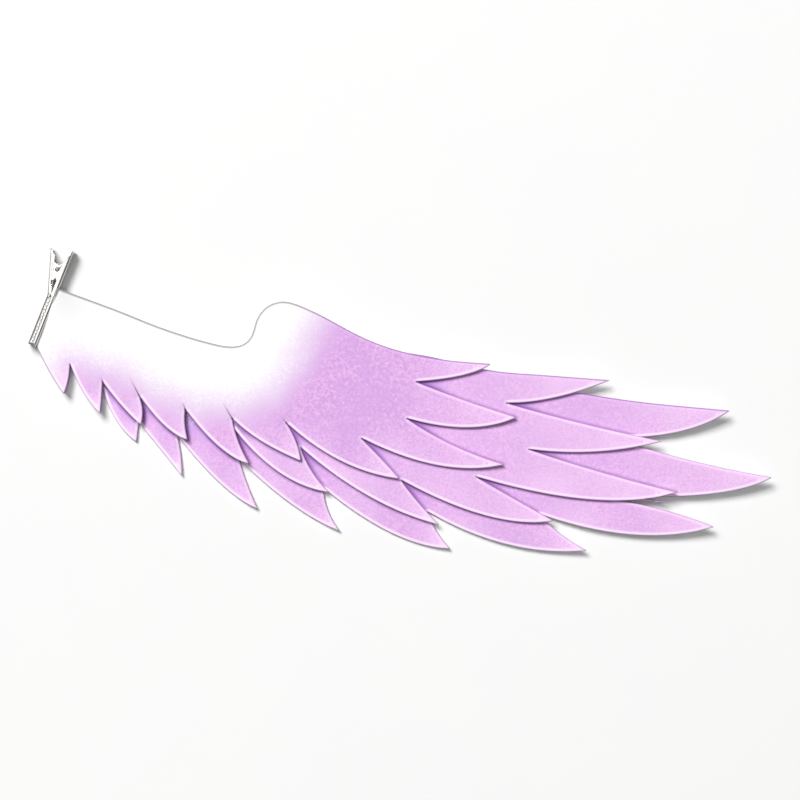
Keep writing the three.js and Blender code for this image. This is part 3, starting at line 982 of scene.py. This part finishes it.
# %% [markdown]
# ## The two halves of the spring
# The real spring is one wire. One of its legs stays with each jaw when the clip opens, so the wire
# is made as two halves that meet in the middle of the coil, and each half rides on its own jaw.

# %% The two halves of the spring
WIRE_RADIUS = 0.3 * MM
COIL_RADIUS = 2.4385 * MM
COIL_TURNS = 4
COIL_LOW = 2.1 * MM
COIL_HIGH = 5.9 * MM
SPRING_LEG = 4.2 * MM
SPLIT_GAP = 0.3 * MM
LEVER_RISE = 6.1 * MM
LEVER_RUN = 19.0 * MM
LEVER_SLOPE = math.atan2(LEVER_RISE, LEVER_RUN)
COIL_STEP = math.radians(6)
WIRE_SPACING = 0.25 * MM
WIRE_SIDES = 12

coil_from = -math.pi / 2
coil_to = math.pi / 2 - LEVER_SLOPE + COIL_TURNS * 2 * math.pi


def coil_place(angle):
    """A place on the coil, whose angle runs from the fixed leg to the moving one."""
    share = (angle - coil_from) / (coil_to - coil_from)
    spoke = COIL_RADIUS * (math.cos(angle) * clip_along + math.sin(angle) * clip_away)
    return Vector((pivot.x, pivot.y, COIL_LOW + share * (COIL_HIGH - COIL_LOW))) + spoke


def spring_path(leg_angle, split_angle):
    """Points from the free end of a leg to the middle of the coil."""
    turning = 1 if split_angle > leg_angle else -1
    tangent = -math.sin(leg_angle) * clip_along + math.cos(leg_angle) * clip_away
    leg_start = coil_place(leg_angle) - turning * SPRING_LEG * tangent
    steps = int(abs(split_angle - leg_angle) / COIL_STEP)
    path = [leg_start]
    for i in range(steps + 1):
        path.append(coil_place(leg_angle + (split_angle - leg_angle) * i / steps))
    return path


def make_wire(piece_name, path, tree, sockets):
    """Runs the wire tree on a path and keeps the result as a plain mesh."""
    mesh = bpy.data.meshes.new(piece_name + "_path")
    mesh.from_pydata(path, [(i, i + 1) for i in range(len(path) - 1)], [])
    piece = bpy.data.objects.new(piece_name, mesh)
    bpy.context.scene.collection.objects.link(piece)
    wire = piece.modifiers.new("wire", "NODES")
    wire.node_group = tree
    wire[sockets["radius"]] = WIRE_RADIUS
    wire[sockets["spacing"]] = WIRE_SPACING
    wire[sockets["sides"]] = WIRE_SIDES
    shown = piece.evaluated_get(bpy.context.evaluated_depsgraph_get())
    plain = bpy.data.meshes.new_from_object(shown)
    piece.modifiers.clear()
    piece.data = plain
    print(piece_name, "faces:", len(plain.polygons))
    return piece


tree, sockets = wire_tree(wire_steel)
coil_middle = (coil_from + coil_to) / 2
half_gap = SPLIT_GAP / COIL_RADIUS / 2
spring_pieces = [
    ("fixed_leg_wire", "spring_fixed_half", "wing", spring_path(coil_from, coil_middle - half_gap)),
    ("moving_leg_wire", "spring_moving_half", "moving_jaw", spring_path(coil_to, coil_middle + half_gap)),
]
for piece_name, node, body, path in spring_pieces:
    piece = make_wire(piece_name, path, tree, sockets)
    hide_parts(node)
    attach(piece, body)

# %% [markdown]
# ## The surface it lies on
# The wing lies on a plain white surface. A wide sheet with a dull, very slightly uneven finish
# takes the soft shadows.

# %% Floor
FLOOR_HALF = 4.0
FLOOR_DROP = 0.05 * MM
BOARD_MOTTLE = 60 * MM

floor_mesh = bpy.data.meshes.new("floor")
corners = [(x * FLOOR_HALF, y * FLOOR_HALF, 0) for x, y in ((-1, -1), (1, -1), (1, 1), (-1, 1))]
floor_mesh.from_pydata(corners, [], [(0, 1, 2, 3)])
floor = bpy.data.objects.new("floor", floor_mesh)
floor.location.z = -FLOOR_DROP
bpy.context.scene.collection.objects.link(floor)
white_board = Finish("white_board")
mottle = white_board.noise(white_board.place(), BOARD_MOTTLE, 2.0)
white_board.set(
    Base_Color=white_board.blend(mottle, linear(231, 231, 231), linear(233, 233, 232)),
    Roughness=0.9,
    Specular_IOR_Level=0.2,
)
floor.data.materials.append(white_board.material)
print("floor:", 2 * FLOOR_HALF, "m square")

# %% [markdown]
# ## Light
# The photograph has a bright even light with soft short shadows, longest to the lower right, and
# thin dark lines in every nook. A large softbox high on the upper left is the main light. A second
# one straight above makes the flat faces of the clip shine white. The world gives a weak fill,
# darker towards the horizon, which draws the dark lines in the bright metal.

# %% Lights
KEY_PLACE = Vector((-1.9, 2.8, 4.9))
KEY_SIZE = 2.2
KEY_POWER = 392.0
TOP_PLACE = Vector((0.2, 0.0, 6.0))
TOP_SIZE = 3.0
TOP_POWER = 36.0
SKY_TOP = 0.42
SKY_HORIZON = 0.02
SKY_DARK_BELOW = 0.35
BACKDROP = (0.93, 0.93, 0.935, 1)


def softbox(name, place, size, watts):
    """A square light that points at the wing."""
    lamp = bpy.data.lights.new(name, "AREA")
    lamp.shape = "SQUARE"
    lamp.size = size
    lamp.energy = watts
    stand = bpy.data.objects.new(name, lamp)
    stand.location = place
    stand.rotation_mode = "QUATERNION"
    stand.rotation_quaternion = (-place).to_track_quat("-Z", "Y")
    bpy.context.scene.collection.objects.link(stand)
    print(name, "light:", watts, "W")


softbox("key", KEY_PLACE, KEY_SIZE, KEY_POWER)
softbox("top", TOP_PLACE, TOP_SIZE, TOP_POWER)

world = bpy.data.worlds.new("studio")
world.use_nodes = True
bpy.context.scene.world = world
sky = world.node_tree
background = sky.nodes["Background"]
direction = add_node(sky, "ShaderNodeTexCoord", {}, {}).outputs["Generated"]
upward = add_node(sky, "ShaderNodeSeparateXYZ", {}, {0: direction}).outputs["Z"]
gradient = add_node(sky, "ShaderNodeMapRange", {"interpolation_type": "SMOOTHSTEP"}, {
    "Value": upward,
    "From Min": SKY_DARK_BELOW,
    "From Max": 1.0,
    "To Min": SKY_HORIZON,
    "To Max": SKY_TOP,
})
fill(sky, background.inputs["Strength"], gradient.outputs[0])
fill(sky, background.inputs["Color"], (1, 1, 1, 1))
seen = add_node(sky, "ShaderNodeBackground", {}, {"Color": BACKDROP})
ray = add_node(sky, "ShaderNodeLightPath", {}, {})
sockets = {0: ray.outputs["Is Camera Ray"], 1: background.outputs[0], 2: seen.outputs[0]}
either = add_node(sky, "ShaderNodeMixShader", {}, sockets)
fill(sky, sky.nodes["World Output"].inputs["Surface"], either.outputs[0])
print("sky strength overhead:", SKY_TOP)

# %% [markdown]
# ## Camera
# The photograph looks straight down on a flat lay, so the camera hangs over the middle of the wing
# and looks straight down as well. A camera that leaned over to one side would draw the far
# feathers short.

# %% Camera and colour
CAMERA_HEIGHT = 1.5
VIEW_WIDTH = 0.345
SENSOR_WIDTH = 36.0

camera = bpy.data.cameras.new("camera")
camera_object = bpy.data.objects.new("camera", camera)
camera_object.location = (0, 0, CAMERA_HEIGHT)
camera.sensor_width = SENSOR_WIDTH
camera.lens = SENSOR_WIDTH * CAMERA_HEIGHT / VIEW_WIDTH
camera.clip_start = 0.05
camera.clip_end = 20.0
bpy.context.scene.collection.objects.link(camera_object)
bpy.context.scene.camera = camera_object
bpy.context.scene.view_settings.view_transform = "Standard"
bpy.context.scene.view_settings.look = "None"
bpy.context.scene.view_settings.exposure = 0.0
print("lens, mm:", round(camera.lens, 1))
